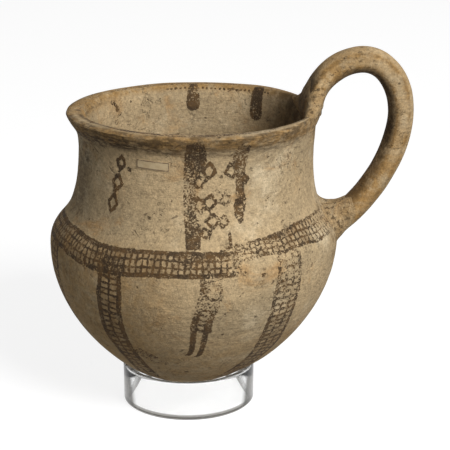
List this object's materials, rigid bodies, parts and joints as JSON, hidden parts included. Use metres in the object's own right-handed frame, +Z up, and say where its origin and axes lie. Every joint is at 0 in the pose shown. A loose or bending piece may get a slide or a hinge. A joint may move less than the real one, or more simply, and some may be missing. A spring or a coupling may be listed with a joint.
{
  "type": "tankard",
  "caption": "Hand-built, round-bottomed clay drinking tankard with a flared mouth and a high loop handle, seated in a clear display ring.",
  "frame": {"origin": "under the middle of the whole object's box, on the surface that the display ring stands on", "axes": "+Z up, +X towards the handle, +Y away from the side that carries the label"},
  "size_m": [0.1714, 0.1364, 0.1725],
  "materials": {
    "slipped_clay": "unglazed buff slip, matt, with worn matt dark brown paint",
    "luting_clay": "unglazed clay, smeared and crumbly",
    "clear_acrylic": "clear polished acrylic tube, sawn and lightly chamfered",
    "label_paper": "aged matt paper with a thin brown border"
  },
  "bodies": {
    "stand": {"display_ring": "clear_acrylic"},
    "tankard": {"bowl": "slipped_clay", "neck": "slipped_clay", "handle": "slipped_clay", "lower_luting": "luting_clay", "upper_luting": "luting_clay", "inventory_label": "label_paper"}
  },
  "joints": [
    {"name": "tankard_lift", "type": "slide", "parent": "stand", "child": "tankard", "axis": [0, 0, 1], "range_m": [0, 0.06]}
  ]
}
